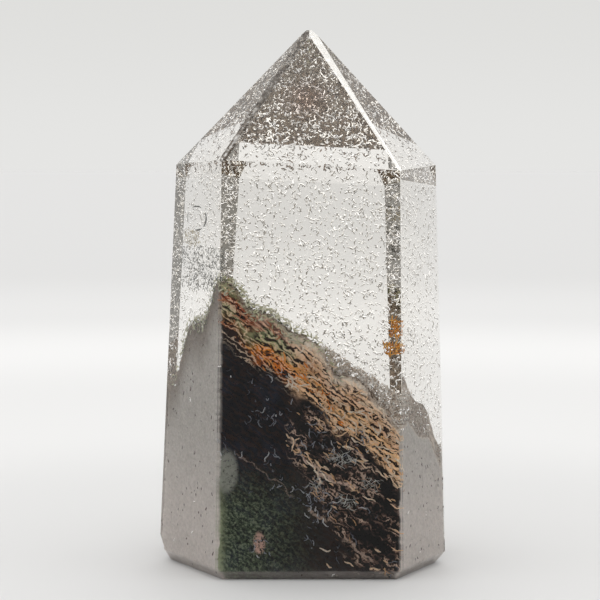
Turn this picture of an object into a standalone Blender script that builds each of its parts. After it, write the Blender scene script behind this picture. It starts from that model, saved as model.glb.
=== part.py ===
"""A garden quartz point: a six-sided tower of clear quartz that stands on its polished base, with a mound of
dark green and rust-red mineral growth sealed in its lower half.

The tower is found the way a crystal is described, from the planes of its six prism faces, the height at which
each upright edge meets the pyramid, and the apex. Every face is therefore flat. The garden is a block that keeps
one wall inside those same faces, with a hilly top. It fills a pocket of the quartz that is open at the base,
because the base was cut through both. Lengths are in metres, angles in degrees. The camera side is -Y.
"""

import math

import bmesh
import bpy
from mathutils import Vector, noise

# The six prism faces, going round: the direction that each one faces, its distance from the axis at the base,
# and how far it leans in towards the axis.
PRISM_FACES = (
    ("front", -90.0, 0.01585, 1.1),
    ("front_right", -27.7, 0.02149, 0.9),
    ("back_right", 25.9, 0.02096, 2.2),
    ("back", 90.0, 0.01586, 1.35),
    ("back_left", 145.3, 0.02085, 3.87),
    ("front_left", 209.4, 0.01953, 1.25),
)
# The shoulder: where the upright edge between a face and the next one meets the pyramid.
SHOULDER_HEIGHTS = (0.0647, 0.0655, 0.0618, 0.0630, 0.0656, 0.0664)
APEX = Vector((0.0013, 0.0, 0.088))

BASE_CHAMFER_UP = 0.0019
BASE_CHAMFER_IN = 0.0016
EDGE_POLISH = 0.0003  # the width of the fine round that polishing left on every edge
EDGE_POLISH_STEPS = 2
# The worn lower left corner: a point on the cut, and the way it faces.
WORN_CORNER_AT = Vector((-0.0223, 0.0, 0.0010))
WORN_CORNER_FACES = Vector((-0.93, 0.03, -0.37))

# The garden's top at a few places in plan, from the photo: a peak at the front left edge, a straight slope down
# to the right, steep falls along the left and right walls, and a gentle fall to the back.
GARDEN_TOPS = (
    (-0.0130, -0.0150, 0.0470),
    (-0.0070, -0.0150, 0.0428),
    (0.0000, -0.0150, 0.0382),
    (0.0080, -0.0150, 0.0320),
    (0.0120, -0.0150, 0.0282),
    (0.0158, -0.0150, 0.0238),
    (-0.0175, -0.0075, 0.0400),
    (-0.0220, 0.0000, 0.0300),
    (-0.0170, 0.0090, 0.0270),
    (0.0195, -0.0080, 0.0215),
    (0.0230, -0.0020, 0.0160),
    (0.0190, 0.0080, 0.0150),
    (-0.0060, -0.0050, 0.0395),
    (0.0020, -0.0030, 0.0345),
    (0.0080, -0.0030, 0.0298),
    (0.0140, -0.0040, 0.0248),
    (-0.0090, 0.0050, 0.0330),
    (0.0030, 0.0060, 0.0310),
    (0.0110, 0.0060, 0.0245),
    (-0.0120, 0.0140, 0.0270),
    (-0.0020, 0.0140, 0.0290),
    (0.0070, 0.0140, 0.0245),
    (0.0140, 0.0140, 0.0170),
)
LUMP_HEIGHT = 0.0013
LUMP_SIZE = 0.0052
KNOB_HEIGHT = 0.0007
KNOB_SIZE = 0.0019
HILL_CELL = 0.0010  # the grid that the hilly top is drawn on
HILL_REACH = 0.026  # half the grid's width, a little past the base all round
HILL_FOOT = -0.004

QUARTZ_WALL = 0.0007  # clear quartz between the garden's pocket and each face
POCKET_GAP = 0.0003
POCKET_LIFT = 0.0005  # the pocket's roof stands this far above the garden's steep hills
CUT_PAST = 0.001

FLAT_WITHIN = math.radians(0.2)


def corner(index, height, inset):
    """Where prism face number index meets the next one, at a height, with both moved in by inset."""
    rows = []
    for _, facing, distance, lean in (PRISM_FACES[index], PRISM_FACES[(index + 1) % len(PRISM_FACES)]):
        turn = math.radians(facing)
        reach = distance - height * math.tan(math.radians(lean)) - inset
        rows.append((math.cos(turn), math.sin(turn), reach))
    (ax, ay, a), (bx, by, b) = rows
    area = ax * by - ay * bx
    return Vector(((a * by - ay * b) / area, (ax * b - a * bx) / area, height))


def ring(height, inset):
    return [corner(index, height, inset) for index in range(len(PRISM_FACES))]


def faceted_block(points):
    """The smallest flat-faced block round these points."""
    block = bmesh.new()
    for point in points:
        block.verts.new(point)
    bmesh.ops.convex_hull(block, input=block.verts, use_existing_faces=False)
    bmesh.ops.dissolve_limit(
        block, angle_limit=FLAT_WITHIN, verts=block.verts, edges=block.edges, use_dissolve_boundaries=False
    )
    return block


def cut_off(block, at, facing):
    """Cuts away what lies past the plane through at, and closes the block with a flat face."""
    cut = bmesh.ops.bisect_plane(
        block,
        geom=block.verts[:] + block.edges[:] + block.faces[:],
        plane_co=at,
        plane_no=facing,
        clear_outer=True,
    )
    rim = [item for item in cut["geom_cut"] if isinstance(item, bmesh.types.BMEdge)]
    bmesh.ops.contextual_create(block, geom=rim)
    bmesh.ops.recalc_face_normals(block, faces=block.faces)


def new_object(name, shape, collection, material=None):
    mesh = bpy.data.meshes.new(name)
    shape.to_mesh(mesh)
    shape.free()
    piece = bpy.data.objects.new(name, mesh)
    collection.objects.link(piece)
    if material:
        mesh.materials.append(material)
    return piece


def new_collection(name):
    collection = bpy.data.collections.new(name)
    bpy.context.scene.collection.children.link(collection)
    return collection


def as_cutter(piece):
    piece.hide_render = True
    piece.display_type = "WIRE"


def boolean(piece, operation, other):
    modifier = piece.modifiers.new(operation.title(), "BOOLEAN")
    modifier.operation = operation
    modifier.solver = "EXACT"
    modifier.object = other


def garden_top(x, y):
    """The height of the garden's top: a smooth run between the known places, with lumps and knobs on it."""
    weights = [1.0 / ((x - px) ** 2 + (y - py) ** 2 + 1e-6) ** 1.5 for px, py, _ in GARDEN_TOPS]
    smooth = sum(w * top for w, (_, _, top) in zip(weights, GARDEN_TOPS)) / sum(weights)
    here = Vector((x, y, 0.0))
    lumps = LUMP_HEIGHT * noise.noise(here / LUMP_SIZE)
    knobs = KNOB_HEIGHT * noise.noise(here / KNOB_SIZE)
    return smooth + lumps + knobs


def hill(lift):
    """A block with the garden's hilly top, raised by lift, and a flat underside below the base."""
    cells = round(2 * HILL_REACH / HILL_CELL)
    land = bmesh.new()
    bmesh.ops.create_grid(land, x_segments=cells, y_segments=cells, size=HILL_REACH)
    for vert in land.verts:
        vert.co.z = garden_top(vert.co.x, vert.co.y) + lift
    sides = bmesh.ops.extrude_face_region(land, geom=land.faces[:])
    for item in sides["geom"]:
        if isinstance(item, bmesh.types.BMVert):
            item.co.z = HILL_FOOT
    bmesh.ops.recalc_face_normals(land, faces=land.faces)
    return land


def garden_walls(wall, foot):
    """The block inside the prism faces and the base chamfer, from foot up to the shoulder."""
    below = [Vector((point.x, point.y, foot)) for point in ring(0.0, wall + BASE_CHAMFER_IN)]
    return faceted_block(below + ring(BASE_CHAMFER_UP, wall) + ring(min(SHOULDER_HEIGHTS), wall))


def mineral(name, colour, roughness, clear=0.0, ior=1.5):
    material = bpy.data.materials.new(name)
    material.use_nodes = True
    shader = material.node_tree.nodes["Principled BSDF"]
    shader.inputs["Base Color"].default_value = (*colour, 1.0)
    shader.inputs["Roughness"].default_value = roughness
    shader.inputs["Metallic"].default_value = 0.0
    shader.inputs["Transmission Weight"].default_value = clear
    shader.inputs["IOR"].default_value = ior
    return material


def centre_on_base(points):
    """The shift that puts the middle of the points' box over the origin."""
    xs = [point.x for point in points]
    ys = [point.y for point in points]
    return Vector((-(min(xs) + max(xs)) / 2, -(min(ys) + max(ys)) / 2, 0.0))


for thing in list(bpy.data.objects):
    bpy.data.objects.remove(thing, do_unlink=True)

specimen = new_collection("garden_quartz_point")
cutters = new_collection("cutters")

clear_quartz = mineral("clear_quartz", (0.97, 0.97, 0.96), 0.02, clear=1.0, ior=1.544)
chlorite = mineral("chlorite_and_iron", (0.075, 0.080, 0.055), 0.80)

# The quartz tower, from the base ring up to the apex.
shoulders = [corner(index, height, 0.0) for index, height in enumerate(SHOULDER_HEIGHTS)]
widest = ring(BASE_CHAMFER_UP, 0.0)
tower = faceted_block(ring(0.0, BASE_CHAMFER_IN) + widest + shoulders + [APEX])
cut_off(tower, WORN_CORNER_AT, WORN_CORNER_FACES.normalized())
quartz_point = new_object("quartz_point", tower, specimen, clear_quartz)
polish = quartz_point.modifiers.new("Polish", "BEVEL")
polish.width = EDGE_POLISH
polish.segments = EDGE_POLISH_STEPS
polish.limit_method = "ANGLE"
polish.angle_limit = math.radians(10.0)

# The pocket that the garden fills, open at the base.
pocket = new_object("pocket", garden_walls(QUARTZ_WALL, -CUT_PAST), cutters)
pocket_hill = new_object("pocket_hill", hill(POCKET_LIFT), cutters)
boolean(pocket, "INTERSECT", pocket_hill)
boolean(quartz_point, "DIFFERENCE", pocket)

# The garden: the mound of chlorite and iron oxide.
garden_inclusion = new_object(
    "garden_inclusion", garden_walls(QUARTZ_WALL + POCKET_GAP, 0.0), specimen, chlorite
)
garden_hill = new_object("garden_hill", hill(0.0), cutters)
boolean(garden_inclusion, "INTERSECT", garden_hill)

for helper in (pocket, pocket_hill, garden_hill):
    as_cutter(helper)

for piece in (quartz_point, garden_inclusion, pocket, pocket_hill, garden_hill):
    piece.location = centre_on_base(widest)
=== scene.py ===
import math
import random

import bmesh
import bpy
from mathutils import Euler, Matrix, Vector, noise


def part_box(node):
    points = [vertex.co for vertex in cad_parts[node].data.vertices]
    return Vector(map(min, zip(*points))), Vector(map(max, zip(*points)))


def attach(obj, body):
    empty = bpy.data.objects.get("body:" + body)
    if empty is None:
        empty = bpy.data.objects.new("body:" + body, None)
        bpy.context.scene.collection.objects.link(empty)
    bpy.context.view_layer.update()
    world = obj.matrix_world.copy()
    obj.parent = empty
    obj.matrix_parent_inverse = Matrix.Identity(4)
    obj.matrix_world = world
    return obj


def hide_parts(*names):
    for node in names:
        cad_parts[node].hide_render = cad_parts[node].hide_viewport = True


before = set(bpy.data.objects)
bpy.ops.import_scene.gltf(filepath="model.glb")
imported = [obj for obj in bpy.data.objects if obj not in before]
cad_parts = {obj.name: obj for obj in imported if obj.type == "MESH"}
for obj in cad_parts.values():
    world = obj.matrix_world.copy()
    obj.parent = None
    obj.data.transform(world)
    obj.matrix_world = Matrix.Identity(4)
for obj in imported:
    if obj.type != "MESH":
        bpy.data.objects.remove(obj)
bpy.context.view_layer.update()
MM = 0.001


# The studio. The camera stands level with the crystal's shoulders and tips down a little, as for a shelf
# portrait. Its place and lens were found from the crystal's upright edges in the photograph.
EYE = Vector((-0.28, -327.5, 65.5)) * MM
EYE_TIPS_DOWN = math.radians(3.86)
LENS_LENGTH = 120.0
SENSOR_WIDTH = 36.0

camera_data = bpy.data.cameras.new("camera")
camera_data.lens = LENS_LENGTH
camera_data.sensor_width = SENSOR_WIDTH
camera_data.clip_start = 0.01
camera_data.clip_end = 100.0
camera = bpy.data.objects.new("camera", camera_data)
camera.location = EYE
camera.rotation_euler = (math.pi / 2 - EYE_TIPS_DOWN, 0.0, 0.0)
bpy.context.scene.collection.objects.link(camera)
bpy.context.scene.camera = camera
bpy.context.scene.view_settings.view_transform = "Standard"


def node(tree, kind, inputs=None, **settings):
    """Adds a node, with its settings and its inputs. An input is a value, or a socket that is linked."""
    made = tree.nodes.new(kind)
    for name, value in settings.items():
        setattr(made, name, value)
    for key, value in (inputs or {}).items():
        socket = made.inputs[key]
        if isinstance(value, bpy.types.NodeSocket):
            tree.links.new(value, socket)
        else:
            socket.default_value = value
    return made


def math_of(tree, operation, a, b=0.0, c=0.0):
    """A Math node. The operation is named as in Blender, such as MULTIPLY_ADD."""
    return node(tree, "ShaderNodeMath", {0: a, 1: b, 2: c}, operation=operation).outputs[0]


def times(tree, a, b):
    return math_of(tree, "MULTIPLY", a, b)


def vector_of(tree, operation, a, b=(0.0, 0.0, 0.0)):
    made = node(tree, "ShaderNodeVectorMath", {0: a, 1: b}, operation=operation)
    return made.outputs["Value" if operation in ("DOT_PRODUCT", "LENGTH") else "Vector"]


def scaled(tree, vector, size):
    return node(tree, "ShaderNodeVectorMath", {0: vector, "Scale": size}, operation="SCALE").outputs[0]


def parts_of(tree, vector):
    """The X, Y and Z of a vector."""
    return node(tree, "ShaderNodeSeparateXYZ", {0: vector}).outputs


def spread(tree, value, low, high):
    """0 where value is at low, 1 where it is at high, easing in and out between them."""
    made = node(
        tree, "ShaderNodeMapRange", {"Value": value, "From Min": low, "From Max": high},
        interpolation_type="SMOOTHSTEP",
    )
    return made.outputs["Result"]


def ramp(tree, factor, stops, interpolation="EASE"):
    """A colour ramp from (position, colour) stops. A colour may be one number, for a grey."""
    made = node(tree, "ShaderNodeValToRGB", {"Fac": factor})
    made.color_ramp.interpolation = interpolation
    elements = made.color_ramp.elements
    while len(elements) < len(stops):
        elements.new(1.0)
    for element, (position, colour) in zip(elements, stops):
        element.position = position
        if isinstance(colour, (int, float)):
            colour = (colour, colour, colour)
        element.color = (*colour, 1.0)
    return made.outputs["Color"]


def mixed(tree, factor, a, b, blend="MIX"):
    """Colour a, going to colour b as factor goes from 0 to 1."""
    a, b = ((*colour, 1.0) if isinstance(colour, tuple) else colour for colour in (a, b))
    made = node(tree, "ShaderNodeMix", {0: factor, 6: a, 7: b}, data_type="RGBA", blend_type=blend)
    return made.outputs[2]


def straight_and_mirrored(tree):
    """Two masks: 1 for light that comes to the eye straight or only refracted, and 1 for mirrored light."""
    path = node(tree, "ShaderNodeLightPath").outputs
    bounced = math_of(tree, "ADD", path["Glossy Depth"], path["Diffuse Depth"])
    refracted = times(tree, path["Is Transmission Ray"], math_of(tree, "LESS_THAN", bounced, 0.5))
    straight = math_of(tree, "MAXIMUM", path["Is Camera Ray"], refracted)
    return straight, math_of(tree, "GREATER_THAN", path["Glossy Depth"], 0.5)


# The light: a soft even backdrop, a wide soft box overhead, a dark flag at each side at the back, and a dim
# room on the camera's side. The flags and the room show only in what the polished faces mirror.
TO_BACK = (0.0, 1.0, 0.0)
SKY_ROUND = ((0.0, 1.0), (0.35, 0.70), (0.55, 0.36), (0.74, 0.24), (0.86, 0.40), (1.0, 0.45))
SKY_ROUND_STRENGTH = 1.8
SKY_TOP = (1.30, 1.29, 1.27)
SKY_TOP_EDGE = (0.25, 0.75)
BACKDROP = ((0.0, (0.787, 0.785, 0.772)), (0.09, (0.740, 0.738, 0.722)))
ROOM_MIRRORED = (0.10, 0.10, 0.10)
ROOM_EDGE_ROUND = (0.30, 0.08)
ROOM_EDGE_UP = (0.75, 0.45)

world = bpy.data.worlds.new("studio")
bpy.context.scene.world = world
world.use_nodes = True
sky = world.node_tree
sky.nodes.clear()
looking = node(sky, "ShaderNodeTexCoord").outputs["Generated"]
height = parts_of(sky, looking)["Z"]
level = vector_of(sky, "NORMALIZE", vector_of(sky, "MULTIPLY", looking, (1.0, 1.0, 0.0)))
behind = math_of(sky, "MULTIPLY_ADD", vector_of(sky, "DOT_PRODUCT", level, TO_BACK), 0.5, 0.5)
around = scaled(sky, ramp(sky, behind, SKY_ROUND, "B_SPLINE"), SKY_ROUND_STRENGTH)
glow = mixed(sky, spread(sky, height, *SKY_TOP_EDGE), around, SKY_TOP)
straight, mirrored = straight_and_mirrored(sky)
low_room = times(sky, spread(sky, behind, *ROOM_EDGE_ROUND), spread(sky, height, *ROOM_EDGE_UP))
glow = mixed(sky, times(sky, mirrored, low_room), glow, ROOM_MIRRORED)
glow = mixed(sky, straight, glow, ramp(sky, height, BACKDROP))
light = node(sky, "ShaderNodeBackground", {"Color": glow, "Strength": 1.0}).outputs["Background"]
node(sky, "ShaderNodeOutputWorld", {"Surface": light})

# The floor is pale paper whose tone is painted light: a little darker near the stone, brightest in a band
# further back, and dimmer far off.
FLOOR_REACH = 20.0
FLOOR_RUN = 0.9
FLOOR_PAINTED_LIGHT = (
    (0.0, 0.62), (0.045, 0.665), (0.09, 0.665), (0.18, 0.72),
    (0.28, 0.71), (0.42, 0.76), (0.62, 0.67), (1.0, 0.61),
)
FLOOR_ROUGHNESS = 0.6
FLOOR_MIRRORED_PAINTED_SHADE = (0.21, 0.21, 0.21)
FLOOR_MIRRORED_EDGE = (0.0, -0.05)

bpy.ops.mesh.primitive_circle_add(vertices=96, radius=FLOOR_REACH, fill_type="TRIFAN")
floor = bpy.context.object
floor.name = "floor"
paper = bpy.data.materials.new("pale_paper")
paper.use_nodes = True
tree = paper.node_tree
place = node(tree, "ShaderNodeTexCoord").outputs["Object"]
run = math_of(tree, "DIVIDE", vector_of(tree, "LENGTH", place), FLOOR_RUN)
# Painted light: the floor's tone by distance from the stone.
shade = ramp(tree, run, FLOOR_PAINTED_LIGHT)
_, mirrored = straight_and_mirrored(tree)
# In mirrored light the floor on the camera's side is painted darker: painted shade for the dim room there.
mirrored_shade_near_camera = spread(tree, vector_of(tree, "DOT_PRODUCT", place, TO_BACK), *FLOOR_MIRRORED_EDGE)
shade = mixed(tree, times(tree, mirrored, mirrored_shade_near_camera), shade, FLOOR_MIRRORED_PAINTED_SHADE)
shader = tree.nodes["Principled BSDF"]
tree.links.new(shade, shader.inputs["Base Color"])
shader.inputs["Roughness"].default_value = FLOOR_ROUGHNESS
floor.data.materials.append(paper)


# The quartz: one clear six-sided tower, sawn from a crystal, lapped flat on every face and polished by hand,
# so that its edges are very slightly round. It is solid; the garden grew inside it. Two edges of its point
# are worn to narrow flats, one frosted and one stained, and its tip is blunt. The frosted flat also glows
# with a painted highlight.
UP = (0.0, 0.0, 1.0)
WHITE = (1.0, 1.0, 1.0)
BLACK = (0.0, 0.0, 0.0)
QUARTZ_IOR = 1.544
QUARTZ_SMOKE = (0.62, 0.50, 0.25)
QUARTZ_SMOKE_DENSITY = 5.5
WELD = 0.001 * MM
FLAT_WITHIN = math.radians(0.3)
WORN_TIP = 0.30 * MM
BROWN_PATCH = (0.64, 0.42, 0.34)
BROWN_PATCH_AT = Vector((0.8, -7.4, 75.8)) * MM
BROWN_PATCH_REACH = 5.5 * MM


def shown(name, mesh):
    """A new object in the scene for a mesh."""
    piece = bpy.data.objects.new(name, mesh)
    bpy.context.scene.collection.objects.link(piece)
    return piece


def as_plain_mesh(source):
    """The mesh of an object with its modifiers applied. The object is removed."""
    graph = bpy.context.evaluated_depsgraph_get()
    mesh = bpy.data.meshes.new_from_object(source.evaluated_get(graph))
    bpy.data.objects.remove(source)
    return mesh


def set_in_stone(name, mesh, material, record_slot, *stands_for):
    """A finished piece: its mesh, its one material, and its place on the stone."""
    piece = shown(name, mesh)
    mesh.materials.clear()
    mesh.materials.append(material)
    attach(piece, "root")
    if stands_for:
        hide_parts(*stands_for)
    return piece


def welded_copy(name):
    """A welded copy of a frame node's mesh, in a new object."""
    shape = bmesh.new()
    shape.from_mesh(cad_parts[name].data)
    bmesh.ops.remove_doubles(shape, verts=shape.verts, dist=WELD)
    mesh = bpy.data.meshes.new(name + "_copy")
    shape.to_mesh(mesh)
    shape.free()
    return shown(name + "_copy", mesh)


def widest_face(shape, towards):
    """The widest face that looks roughly towards a direction."""
    aim = Vector(towards)
    facing_it = (face for face in shape.faces if face.normal.angle(aim) < FACET_WITHIN)
    return max(facing_it, key=bmesh.types.BMFace.calc_area)


def ground_off(shape, at, facing):
    """Grinds away what lies past the plane through at, and leaves a flat face there."""
    everything = shape.verts[:] + shape.edges[:] + shape.faces[:]
    cut = bmesh.ops.bisect_plane(shape, geom=everything, plane_co=at, plane_no=facing, clear_outer=True)
    rim = [item for item in cut["geom_cut"] if isinstance(item, bmesh.types.BMEdge)]
    bmesh.ops.contextual_create(shape, geom=rim)


def ground_edge(shape, towards_left, towards_right, high_depth, low_depth):
    """Grinds a narrow flat along the edge where two facets of the point meet, from the apex down."""
    left, right = widest_face(shape, towards_left), widest_face(shape, towards_right)
    apex = max((vert.co for vert in shape.verts), key=lambda co: co.z)
    outward = (left.normal + right.normal).normalized()
    along = left.normal.cross(right.normal).normalized()
    if along.z > 0.0:
        along.negate()
    top = apex - outward * high_depth
    bottom = apex + along * POINT_EDGE_LENGTH - outward * low_depth
    facing = outward.cross(along).cross(bottom - top).normalized()
    if facing.dot(outward) < 0.0:
        facing.negate()
    ground_off(shape, top, facing)
    return facing, facing.dot(top)


def on_flat(tree, place, flat):
    """1 on a ground flat, 0 on the rest of the crystal, which lies behind the flat's plane."""
    facing, distance = flat
    ahead = vector_of(tree, "DOT_PRODUCT", place, tuple(facing))
    return math_of(tree, "GREATER_THAN", ahead, distance - JUST_UNDER)


POINT_EDGE_LENGTH = 30.0 * MM
FACET_WITHIN = 0.35
FRONT_FACET = (0.0, -0.85, 0.53)
FRONT_RIGHT_FACET = (0.65, -0.34, 0.68)
FRONT_LEFT_FACET = (-0.62, -0.36, 0.69)
# How deep each flat is ground at the apex, and where the edge ends.
FROSTED_DEPTHS = (0.27 * MM, 0.04 * MM)
STAINED_DEPTHS = (0.085 * MM, 0.075 * MM)
JUST_UNDER = 0.004 * MM
# The glow of the frosted flat is a painted highlight.
FROSTED_PAINTED_HIGHLIGHT = (0.62, 0.62, 0.60)
STAINED_EDGE = (0.09, 0.07, 0.055)
BEAD_SCALE = 1400.0
BEAD_EDGE = (0.35, 0.55)
GROUND_ROUGHNESS = 0.3
FACE_WEIGHT = 100

blank = welded_copy("quartz_point")
outer = bmesh.new()
for vert in blank.data.vertices:
    outer.verts.new(vert.co)
bpy.data.objects.remove(blank)
hull = bmesh.ops.convex_hull(outer, input=outer.verts, use_existing_faces=False)
spare = {item for item in hull["geom_interior"] + hull["geom_unused"] if isinstance(item, bmesh.types.BMVert)}
bmesh.ops.delete(outer, geom=list(spare), context="VERTS")
bmesh.ops.dissolve_limit(outer, angle_limit=FLAT_WITHIN, verts=outer.verts, edges=outer.edges)
bmesh.ops.recalc_face_normals(outer, faces=outer.faces)
frosted_flat = ground_edge(outer, FRONT_FACET, FRONT_RIGHT_FACET, *FROSTED_DEPTHS)
stained_flat = ground_edge(outer, FRONT_LEFT_FACET, FRONT_FACET, *STAINED_DEPTHS)
tip = max(vert.co.z for vert in outer.verts)
ground_off(outer, Vector((0.0, 0.0, tip - WORN_TIP)), Vector(UP))
bmesh.ops.recalc_face_normals(outer, faces=outer.faces)

# The wide faces as planes, each as its direction and its distance, for what must stay inside the crystal.
SKIN = 0.10 * MM
WIDE_FACE = 3.0 * MM * MM
skin_planes = []
for face in outer.faces:
    if face.calc_area() > WIDE_FACE:
        skin_planes.append((face.normal.copy(), face.normal.dot(face.calc_center_median()) - SKIN))

quartz = bpy.data.materials.new("clear_quartz")
quartz.use_nodes = True
tree = quartz.node_tree
shader = tree.nodes["Principled BSDF"]
place = node(tree, "ShaderNodeTexCoord").outputs["Object"]
frosted_and_painted_highlight = on_flat(tree, place, frosted_flat)
stained = on_flat(tree, place, stained_flat)
speckled = node(tree, "ShaderNodeTexNoise", {"Vector": place, "Scale": BEAD_SCALE}).outputs[0]
beads = times(tree, stained, spread(tree, speckled, *BEAD_EDGE))
off_patch = vector_of(tree, "LENGTH", vector_of(tree, "SUBTRACT", place, tuple(BROWN_PATCH_AT)))
tint = mixed(tree, spread(tree, off_patch, BROWN_PATCH_REACH, 0.0), WHITE, BROWN_PATCH)
dulled = times(tree, math_of(tree, "MAXIMUM", frosted_and_painted_highlight, stained), GROUND_ROUGHNESS)
tree.links.new(mixed(tree, beads, tint, STAINED_EDGE), shader.inputs["Base Color"])
# The frosted flat is rough for real, and its glow by emission is a painted highlight.
tree.links.new(mixed(tree, frosted_and_painted_highlight, BLACK, FROSTED_PAINTED_HIGHLIGHT), shader.inputs["Emission Color"])
tree.links.new(dulled, shader.inputs["Roughness"])
shader.inputs["Emission Strength"].default_value = 1.0
shader.inputs["IOR"].default_value = QUARTZ_IOR
shader.inputs["Transmission Weight"].default_value = 1.0
smoke = node(
    tree, "ShaderNodeVolumeAbsorption", {"Color": (*QUARTZ_SMOKE, 1.0), "Density": QUARTZ_SMOKE_DENSITY}
)
tree.links.new(smoke.outputs["Volume"], tree.nodes["Material Output"].inputs["Volume"])

rough_tower = bpy.data.meshes.new("clear_tower")
outer.to_mesh(rough_tower)
outer.free()
rough_tower.shade_smooth()
tower_source = shown("tower_source", rough_tower)
evened = tower_source.modifiers.new("Flat faces stay flat", "WEIGHTED_NORMAL")
evened.weight = FACE_WEIGHT
tower = set_in_stone("clear_tower", as_plain_mesh(tower_source), quartz, "clear_quartz", "quartz_point")


# The garden: a mound of chlorite and iron oxides that settled on an older face of the crystal before the
# clear quartz closed over it. It lies in slanting layers: moss green along the rim, then rust and tan, then
# near black.
DOWN = (0.0, 0.0, -1.0)
IN_MM = 1000.0
LONG_RAY = 0.2
OVERHEAD = (0.0, 0.0, 0.1)
INWARD = (-0.0008, -0.0008, 0.0)
MOUND_VOXEL = 0.32 * MM
MOUND_SWELL = 0.55 * MM
LEDGE_DEPTH = 0.32 * MM
LEDGE_STRETCH = 4.0
LEDGE_SCALE = 650.0
LEDGE_EDGE = (0.42, 0.62)
PIT_DEPTH = 0.25 * MM
PIT_SCALE = 900.0
PIT_EDGE = (0.45, 0.75)
MOUND_LOWEST = 0.15 * MM
FLANK_TURNS = (-0.90, -0.60)
CROWN_TURNS = (0.25, 0.60)
LAYER_SLOPE = math.radians(37.0)
ALONG_LAYERS = (math.cos(LAYER_SLOPE), 0.0, -math.sin(LAYER_SLOPE))
ACROSS_LAYERS = (math.sin(LAYER_SLOPE), 0.0, math.cos(LAYER_SLOPE))


def geometry_tree(name, **sizes):
    """A Geometry Nodes tree with a geometry in and out, and a named input of each kind that sizes gives."""
    tree = bpy.data.node_groups.new(name, "GeometryNodeTree")
    tree.interface.new_socket("Geometry", in_out="INPUT", socket_type="NodeSocketGeometry")
    tree.interface.new_socket("Geometry", in_out="OUTPUT", socket_type="NodeSocketGeometry")
    for label, kind in sizes.items():
        tree.interface.new_socket(label, in_out="INPUT", socket_type="NodeSocket" + kind)
    return tree, node(tree, "NodeGroupInput").outputs


def finish_tree(tree, geometry, material):
    """Ends a tree: the copies are made real and take the material."""
    real = node(tree, "GeometryNodeRealizeInstances", {"Geometry": geometry}).outputs[0]
    painted = node(tree, "GeometryNodeSetMaterial", {"Geometry": real, "Material": material}).outputs[0]
    node(tree, "NodeGroupOutput", {0: painted})


def run_tree(source, tree, **sizes):
    """Runs the tree on the source object with these sizes, and returns the plain mesh."""
    modifier = source.modifiers.new(tree.name, "NODES")
    modifier.node_group = tree
    for item in tree.interface.items_tree:
        if item.in_out == "INPUT" and item.name in sizes:
            modifier[item.identifier] = sizes[item.name]
    return as_plain_mesh(source)


def stored(tree, geometry, name, value, domain="POINT"):
    made = node(
        tree, "GeometryNodeStoreNamedAttribute", {"Geometry": geometry, "Name": name, "Value": value},
        data_type="FLOAT", domain=domain,
    )
    return made.outputs["Geometry"]


def noise_of(tree, vector, scale, detail=4.0, roughness=0.6, distortion=0.0):
    sizes = {"Scale": scale, "Detail": detail, "Roughness": roughness, "Distortion": distortion}
    return node(tree, "ShaderNodeTexNoise", {"Vector": vector, **sizes}).outputs[0]


def bedded(tree, place, stretch):
    """The place in the layers' own axes, drawn out along them, so that a pattern there runs in streaks."""
    along = vector_of(tree, "DOT_PRODUCT", place, ALONG_LAYERS)
    drawn_out = math_of(tree, "DIVIDE", along, stretch)
    deep = parts_of(tree, place)["Y"]
    across = vector_of(tree, "DOT_PRODUCT", place, ACROSS_LAYERS)
    return node(tree, "ShaderNodeCombineXYZ", {0: drawn_out, 1: deep, 2: across}).outputs[0]


# The relief: each point of the mound learns how far under the rim it lies and which way it faces, and is then
# moved out or in, so that the layers show as ledges.
relief, given = geometry_tree(
    "mound_relief", swell="Float", ledge="Float", pit="Float", lowest="Float", paint="Material"
)
start = given["Geometry"]
position = node(relief, "GeometryNodeInputPosition").outputs[0]
normal = node(relief, "GeometryNodeInputNormal").outputs[0]
facing = parts_of(relief, normal)
inside = vector_of(relief, "ADD", position, vector_of(relief, "MULTIPLY", normal, INWARD))
above = vector_of(relief, "ADD", inside, OVERHEAD)
drop = node(
    relief, "GeometryNodeRaycast",
    {"Target Geometry": start, "Source Position": above, "Ray Direction": DOWN, "Ray Length": LONG_RAY},
)
to_top = vector_of(relief, "SUBTRACT", drop.outputs["Hit Position"], position)
under = math_of(relief, "DIVIDE", vector_of(relief, "DOT_PRODUCT", to_top, UP), MM)
shape = stored(relief, start, "under", math_of(relief, "MAXIMUM", under, 0.0))
shape = stored(relief, shape, "flank", spread(relief, facing["Y"], *FLANK_TURNS))
shape = stored(relief, shape, "crown", spread(relief, facing["Z"], *CROWN_TURNS))
ledges = noise_of(relief, bedded(relief, position, LEDGE_STRETCH), LEDGE_SCALE, 3.0)
pits = noise_of(relief, position, PIT_SCALE)
sunk = math_of(
    relief, "ADD",
    times(relief, spread(relief, ledges, *LEDGE_EDGE), given["ledge"]),
    times(relief, spread(relief, pits, *PIT_EDGE), given["pit"]),
)
rise = math_of(relief, "SUBTRACT", given["swell"], sunk)
new = parts_of(relief, vector_of(relief, "ADD", position, scaled(relief, normal, rise)))
lifted = math_of(relief, "MAXIMUM", new["Z"], given["lowest"])
placed = node(relief, "ShaderNodeCombineXYZ", {0: new["X"], 1: new["Y"], 2: lifted}).outputs[0]
raised = node(relief, "GeometryNodeSetPosition", {"Geometry": shape, "Position": placed}).outputs[0]
finish_tree(relief, raised, given["paint"])


def attribute(tree, name):
    return node(tree, "ShaderNodeAttribute", attribute_name=name).outputs["Fac"]


def thin_lines(tree, value, width):
    """Thin wandering lines, where the value passes through its middle."""
    off = math_of(tree, "ABSOLUTE", math_of(tree, "SUBTRACT", value, 0.5))
    return spread(tree, off, width, 0.0)


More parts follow.
